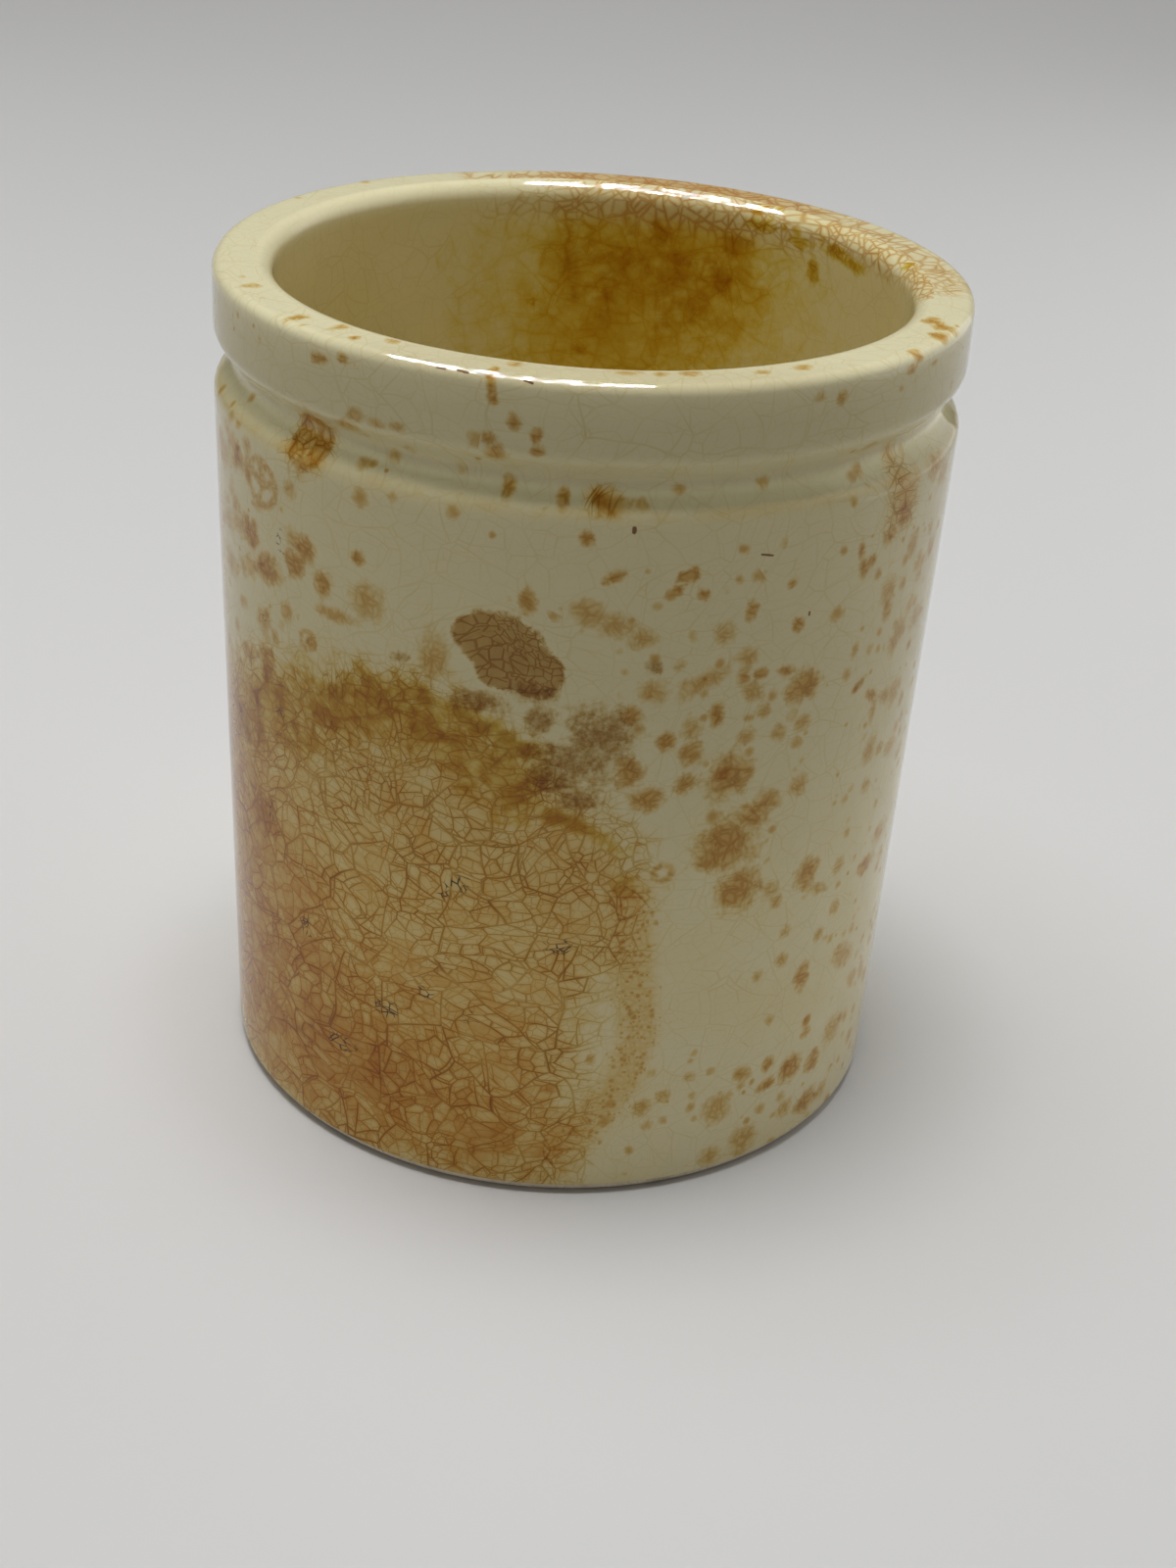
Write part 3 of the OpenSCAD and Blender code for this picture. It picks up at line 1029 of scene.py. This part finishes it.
def clayMaterial(look):
    material, start, shader = startMaterial("bareClay")
    place = start.add("ShaderNodeTexCoord", None, None, out=3).scaled(1.0 / mm)
    cloud = place.noise(4.0, 4.0, 0.6, 1.0)
    grain = place.noise(0.4, 4.0, 0.65, 2.0)
    speckInputs = {"Vector": place, "Scale": 1.4, "Randomness": 1.0}
    speck = start.add("ShaderNodeTexVoronoi", {"feature": "F1"}, speckInputs)
    colour = grain.ramp(0.3, 0.7).blend(look["buff"], look["pale"])
    colour = colour.mix(cloud.ramp(0.52, 0.75) * 0.6, look["grime"])
    colour = colour.mix(speck.ramp(0.08, 0.2, 0.7, 0.0), look["grit"])
    wireTo(shader, "Base Color", colour)
    wireTo(shader, "Roughness", 0.7 + 0.2 * grain)
    bumpInputs = {"Height": grain + speck * 0.4, "Strength": 0.35, "Distance": 0.2 * mm}
    wireTo(shader, "Normal", start.add("ShaderNodeBump", None, bumpInputs))
    return material


clay = turned("clayBody", clayLine(), 256, 0.0, clayMaterial(clayLook))
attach(clay, "root")
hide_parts("clay_body")
print("clay ready")


# Stage, light and camera

studio = {
    "floorSize": 3.0,
    "floorColour": (0.70, 0.70, 0.70, 1.0),
    "worldColour": (0.90, 0.86, 0.78, 1.0),
    "worldStrength": 0.09,
    "backdropColour": (0.42, 0.42, 0.415, 1.0),  # what shows behind the floor's edge
    "skyAngle": 24.0,  # width of the soft light from above, in degrees
    "skyStrength": 1.26,
    "skyLean": (0.03, 0.01, -1.0),  # way that it shines
    "ringPlace": (-0.065, 0.06, 0.40),  # ring of small lamps over the pot
    "ringRadius": 0.115,
    "ringLamps": 24,
    "lampSize": 0.006,
    "lampPower": 2.2,  # for highlights only
    "discPlace": (-0.06, -0.005, 0.40),  # the ring's soft light
    "discPower": 0.5,
    "wallGap": 0.25,  # pale walls of light at both sides
    "wallBack": 0.17,
    "wallHeight": 0.15,
    "wallSize": (0.40, 0.30),
    "wallPower": (0.13, 0.33),  # left and right
    "fillPlace": (-0.24, -0.38, 0.25),  # soft light from the room behind the camera
    "fillSize": 0.5,
    "fillPower": 0.16,
}

viewpoint = {  # metres and degrees
    "place": (0.0, -0.18394, 0.12147),
    "pitch": 28.091,
    "yaw": 0.667,
    "roll": 3.8135,
    "lens": 54.09,
    "sensor": 36.0,
}


def makeFloor():
    size = studio["floorSize"]
    mesh = bpy.data.meshes.new("floor")
    corners = [(-size, -size, 0.0), (size, -size, 0.0), (size, size, 0.0), (-size, size, 0.0)]
    mesh.from_pydata(corners, [], [(0, 1, 2, 3)])
    floor = placed("floor", mesh)
    material, _, shader = startMaterial("paperFloor")
    shader.inputs["Base Color"].default_value = studio["floorColour"]
    shader.inputs["Roughness"].default_value = 0.7
    shader.inputs["Specular IOR Level"].default_value = 0.0
    mesh.materials.append(material)


def makeWorld():  # a dim warm room, which the camera sees as a plain grey backdrop
    world = bpy.data.worlds.new("softRoom")
    world.use_nodes = True
    start = Wire(world.node_tree)
    room = start.add("ShaderNodeBackground", None, {0: studio["worldColour"], 1: studio["worldStrength"]})
    backdrop = start.add("ShaderNodeBackground", None, {0: studio["backdropColour"]})
    seen = start.add("ShaderNodeLightPath")
    both = start.add("ShaderNodeMixShader", None, {0: seen, 1: room, 2: backdrop})
    world.node_tree.links.new(both.socket, world.node_tree.nodes["World Output"].inputs[0])
    bpy.context.scene.world = world


def addLight(name, kind, power, place=(0.0, 0.0, 0.0)):
    light = bpy.data.lights.new(name, kind)
    light.energy = power
    holder = placed(name, light)
    holder.location = place
    return holder


def aimed(way):
    return Vector(way).to_track_quat("-Z", "Y").to_euler()


def makeLights():
    sky = addLight("sky", "SUN", studio["skyStrength"])
    sky.data.angle = math.radians(studio["skyAngle"])
    sky.rotation_euler = aimed(studio["skyLean"])
    for side, power in zip((-1, 1), studio["wallPower"]):
        place = (side * studio["wallGap"], studio["wallBack"], studio["wallHeight"])
        wall = addLight("wallLight", "AREA", power, place)
        wall.data.shape = "RECTANGLE"
        wall.data.size, wall.data.size_y = studio["wallSize"]
        wall.rotation_euler = (math.radians(90), 0.0, math.radians(90 * side))
        wall.visible_camera = False
        wall.visible_glossy = side > 0  # only the right wall shows in the glaze
    fill = addLight("fill", "AREA", studio["fillPower"], studio["fillPlace"])
    fill.data.size = studio["fillSize"]
    fill.rotation_euler = aimed(-Vector(studio["fillPlace"]))
    disc = addLight("ringGlow", "AREA", studio["discPower"], studio["discPlace"])
    disc.data.shape = "DISK"
    disc.data.size = studio["ringRadius"] * 2
    for soft in (fill, disc):
        soft.visible_glossy = False
        soft.visible_camera = False
    ringPlace = Vector(studio["ringPlace"])
    for i in range(studio["ringLamps"]):
        turn = math.tau * i / studio["ringLamps"]
        place = ringPlace + studio["ringRadius"] * Vector((math.cos(turn), math.sin(turn), 0.0))
        lamp = addLight("ringLamp", "POINT", studio["lampPower"], place)
        lamp.data.shadow_soft_size = studio["lampSize"]
        lamp.visible_diffuse = False


def makeCamera():
    pitch, yaw, roll = (math.radians(viewpoint[key]) for key in ("pitch", "yaw", "roll"))
    ahead = Vector((math.sin(yaw) * math.cos(pitch), math.cos(yaw) * math.cos(pitch), -math.sin(pitch)))
    level = Vector((math.cos(yaw), -math.sin(yaw), 0.0))
    upright = level.cross(ahead)
    right = math.cos(roll) * level + math.sin(roll) * upright
    up = math.cos(roll) * upright - math.sin(roll) * level
    camera = placed("camera", bpy.data.cameras.new("camera"))
    camera.data.lens = viewpoint["lens"]
    camera.data.sensor_width = viewpoint["sensor"]
    camera.data.clip_start = 0.005
    turn = Matrix((right, up, -ahead)).transposed().to_4x4()
    camera.matrix_world = Matrix.Translation(viewpoint["place"]) @ turn
    bpy.context.scene.camera = camera
    bpy.context.scene.view_settings.view_transform = "Standard"


makeFloor()
makeWorld()
makeLights()
makeCamera()
print("stage, light and camera ready")
